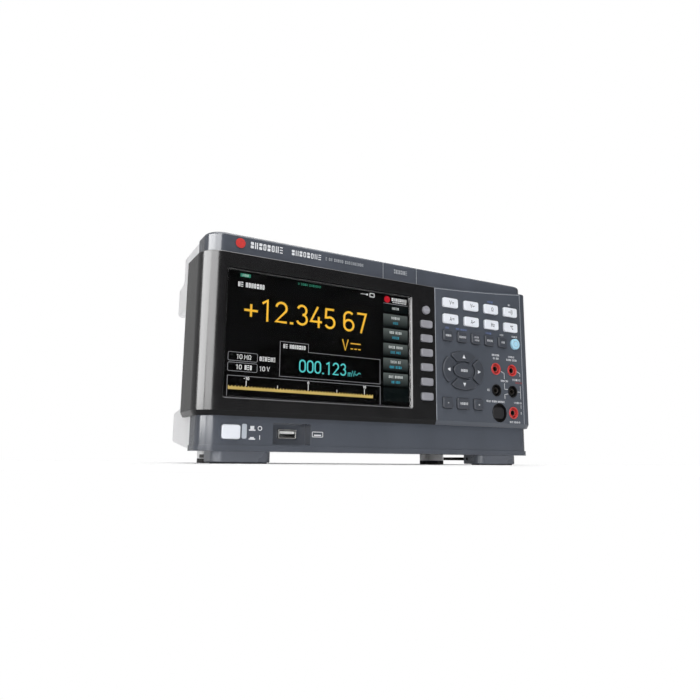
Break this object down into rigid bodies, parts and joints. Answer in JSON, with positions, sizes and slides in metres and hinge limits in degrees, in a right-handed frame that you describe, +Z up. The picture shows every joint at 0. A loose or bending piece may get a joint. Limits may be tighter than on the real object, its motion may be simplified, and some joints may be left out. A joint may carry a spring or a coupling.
{
  "type": "bench multimeter",
  "caption": "Wide bench multimeter with a large colour display, keypad and 4 mm input jacks in a dark front, pale housing with side grips, padded feet, flip-out legs and a cooling fan.",
  "frame": {"origin": "on the floor, under the centre of the overall box", "axes": "+Z up; -Y points out of the display towards the user; +X to the right seen from the front"},
  "size_m": [0.311, 0.139, 0.165],
  "materials": {
    "slate_plastic": "fine texture",
    "gloss_charcoal": "gloss",
    "panel_slate": "fine texture",
    "clear_lens": "clear",
    "dark_display": "gloss",
    "silicone": "matte",
    "circuit_board": "solder mask",
    "red_plastic": "satin",
    "black_plastic": "fine texture",
    "contact_brass": "bright",
    "bright_shell": "bright",
    "light_guide": "satin",
    "pale_plastic": "fine texture",
    "zinc_sheet": "satin",
    "laminated_iron": "varnished",
    "foot_rubber": "matte",
    "screw_steel": "satin",
    "ribbon_grey": "satin",
    "white_key": "satin",
    "dark_key": "satin",
    "grey_key": "satin",
    "blue_key": "satin"
  },
  "bodies": {
    "instrument": {"black_jacks": "black_plastic", "bnc_connectors": "bright_shell", "board_screws": "screw_steel", "case_screws": "screw_steel", "chassis": "zinc_sheet", "display_bezel": "gloss_charcoal", "display_lens": "clear_lens", "display_module": "dark_display", "fan_frame": "black_plastic", "foot_pads": "foot_rubber", "front_board": "circuit_board", "front_feet": "slate_plastic", "front_frame": "slate_plastic", "jack_contacts": "contact_brass", "keypad_mat": "silicone", "keypad_panel": "panel_slate", "lan_port": "bright_shell", "main_board": "circuit_board", "power_inlet": "black_plastic", "power_light_pipe": "light_guide", "power_transformer": "laminated_iron", "rear_housing": "pale_plastic", "red_jacks": "red_plastic", "ribbon_cable": "ribbon_grey", "usb_device_port": "bright_shell", "usb_host_port": "bright_shell"},
    "dc_voltage_key": {"dc_voltage_key": "white_key"},
    "ac_voltage_key": {"ac_voltage_key": "white_key"},
    "resistance_key": {"resistance_key": "white_key"},
    "continuity_key": {"continuity_key": "white_key"},
    "dc_current_key": {"dc_current_key": "white_key"},
    "ac_current_key": {"ac_current_key": "white_key"},
    "frequency_key": {"frequency_key": "white_key"},
    "temperature_key": {"temperature_key": "white_key"},
    "utility_key": {"utility_key": "dark_key"},
    "hold_key": {"hold_key": "dark_key"},
    "display_key": {"display_key": "dark_key"},
    "trigger_key": {"trigger_key": "dark_key"},
    "acquire_key": {"acquire_key": "dark_key"},
    "nav_up_key": {"nav_up_key": "dark_key"},
    "nav_down_key": {"nav_down_key": "dark_key"},
    "nav_left_key": {"nav_left_key": "dark_key"},
    "nav_right_key": {"nav_right_key": "dark_key"},
    "enter_key": {"enter_key": "dark_key"},
    "range_down_key": {"range_down_key": "dark_key"},
    "auto_range_key": {"auto_range_key": "dark_key"},
    "range_up_key": {"range_up_key": "dark_key"},
    "back_key": {"back_key": "grey_key"},
    "softkey_1": {"softkey_1": "grey_key"},
    "softkey_2": {"softkey_2": "grey_key"},
    "softkey_3": {"softkey_3": "grey_key"},
    "softkey_4": {"softkey_4": "grey_key"},
    "softkey_5": {"softkey_5": "grey_key"},
    "softkey_6": {"softkey_6": "grey_key"},
    "shift_key": {"shift_key": "blue_key"},
    "power_button": {"power_button": "white_key"},
    "terminal_select_button": {"terminal_select_button": "black_plastic"},
    "tilt_leg_left": {"tilt_leg_left": "black_plastic"},
    "tilt_leg_right": {"tilt_leg_right": "black_plastic"},
    "fan_rotor": {"fan_rotor": "black_plastic"}
  },
  "joints": [
    {"name": "tilt_leg_left_fold", "type": "hinge", "parent": "instrument", "child": "tilt_leg_left", "pos_m": [-0.11725, -0.0417, 0.0052], "axis": [-1, 0, 0], "range_deg": [0, 80]},
    {"name": "tilt_leg_right_fold", "type": "hinge", "parent": "instrument", "child": "tilt_leg_right", "pos_m": [0.11725, -0.0417, 0.0052], "axis": [-1, 0, 0], "range_deg": [0, 80]},
    {"name": "fan_spin", "type": "hinge", "parent": "instrument", "child": "fan_rotor", "pos_m": [-0.005, 0.0473, 0.102], "axis": [0, 1, 0], "continuous": true},
    {"name": "power_button_press", "type": "slide", "parent": "instrument", "child": "power_button", "axis": [0, 1, 0], "range_m": [0, 0.0025]},
    {"name": "terminal_select_button_press", "type": "slide", "parent": "instrument", "child": "terminal_select_button", "axis": [0, 1, 0], "range_m": [0, 0.0025]},
    {"name": "dc_voltage_key_press", "type": "slide", "parent": "instrument", "child": "dc_voltage_key", "axis": [0, 1, 0], "range_m": [0, 0.001]},
    {"name": "ac_voltage_key_press", "type": "slide", "parent": "instrument", "child": "ac_voltage_key", "axis": [0, 1, 0], "range_m": [0, 0.001]},
    {"name": "resistance_key_press", "type": "slide", "parent": "instrument", "child": "resistance_key", "axis": [0, 1, 0], "range_m": [0, 0.001]},
    {"name": "continuity_key_press", "type": "slide", "parent": "instrument", "child": "continuity_key", "axis": [0, 1, 0], "range_m": [0, 0.001]},
    {"name": "dc_current_key_press", "type": "slide", "parent": "instrument", "child": "dc_current_key", "axis": [0, 1, 0], "range_m": [0, 0.001]},
    {"name": "ac_current_key_press", "type": "slide", "parent": "instrument", "child": "ac_current_key", "axis": [0, 1, 0], "range_m": [0, 0.001]},
    {"name": "frequency_key_press", "type": "slide", "parent": "instrument", "child": "frequency_key", "axis": [0, 1, 0], "range_m": [0, 0.001]},
    {"name": "temperature_key_press", "type": "slide", "parent": "instrument", "child": "temperature_key", "axis": [0, 1, 0], "range_m": [0, 0.001]},
    {"name": "utility_key_press", "type": "slide", "parent": "instrument", "child": "utility_key", "axis": [0, 1, 0], "range_m": [0, 0.001]},
    {"name": "hold_key_press", "type": "slide", "parent": "instrument", "child": "hold_key", "axis": [0, 1, 0], "range_m": [0, 0.001]},
    {"name": "display_key_press", "type": "slide", "parent": "instrument", "child": "display_key", "axis": [0, 1, 0], "range_m": [0, 0.001]},
    {"name": "trigger_key_press", "type": "slide", "parent": "instrument", "child": "trigger_key", "axis": [0, 1, 0], "range_m": [0, 0.001]},
    {"name": "acquire_key_press", "type": "slide", "parent": "instrument", "child": "acquire_key", "axis": [0, 1, 0], "range_m": [0, 0.001]},
    {"name": "nav_up_key_press", "type": "slide", "parent": "instrument", "child": "nav_up_key", "axis": [0, 1, 0], "range_m": [0, 0.001]},
    {"name": "nav_down_key_press", "type": "slide", "parent": "instrument", "child": "nav_down_key", "axis": [0, 1, 0], "range_m": [0, 0.001]},
    {"name": "nav_left_key_press", "type": "slide", "parent": "instrument", "child": "nav_left_key", "axis": [0, 1, 0], "range_m": [0, 0.001]},
    {"name": "nav_right_key_press", "type": "slide", "parent": "instrument", "child": "nav_right_key", "axis": [0, 1, 0], "range_m": [0, 0.001]},
    {"name": "enter_key_press", "type": "slide", "parent": "instrument", "child": "enter_key", "axis": [0, 1, 0], "range_m": [0, 0.001]},
    {"name": "range_down_key_press", "type": "slide", "parent": "instrument", "child": "range_down_key", "axis": [0, 1, 0], "range_m": [0, 0.001]},
    {"name": "auto_range_key_press", "type": "slide", "parent": "instrument", "child": "auto_range_key", "axis": [0, 1, 0], "range_m": [0, 0.001]},
    {"name": "range_up_key_press", "type": "slide", "parent": "instrument", "child": "range_up_key", "axis": [0, 1, 0], "range_m": [0, 0.001]},
    {"name": "back_key_press", "type": "slide", "parent": "instrument", "child": "back_key", "axis": [0, 1, 0], "range_m": [0, 0.001]},
    {"name": "softkey_1_press", "type": "slide", "parent": "instrument", "child": "softkey_1", "axis": [0, 1, 0], "range_m": [0, 0.001]},
    {"name": "softkey_2_press", "type": "slide", "parent": "instrument", "child": "softkey_2", "axis": [0, 1, 0], "range_m": [0, 0.001]},
    {"name": "softkey_3_press", "type": "slide", "parent": "instrument", "child": "softkey_3", "axis": [0, 1, 0], "range_m": [0, 0.001]},
    {"name": "softkey_4_press", "type": "slide", "parent": "instrument", "child": "softkey_4", "axis": [0, 1, 0], "range_m": [0, 0.001]},
    {"name": "softkey_5_press", "type": "slide", "parent": "instrument", "child": "softkey_5", "axis": [0, 1, 0], "range_m": [0, 0.001]},
    {"name": "softkey_6_press", "type": "slide", "parent": "instrument", "child": "softkey_6", "axis": [0, 1, 0], "range_m": [0, 0.001]},
    {"name": "shift_key_press", "type": "slide", "parent": "instrument", "child": "shift_key", "axis": [0, 1, 0], "range_m": [0, 0.001]}
  ]
}
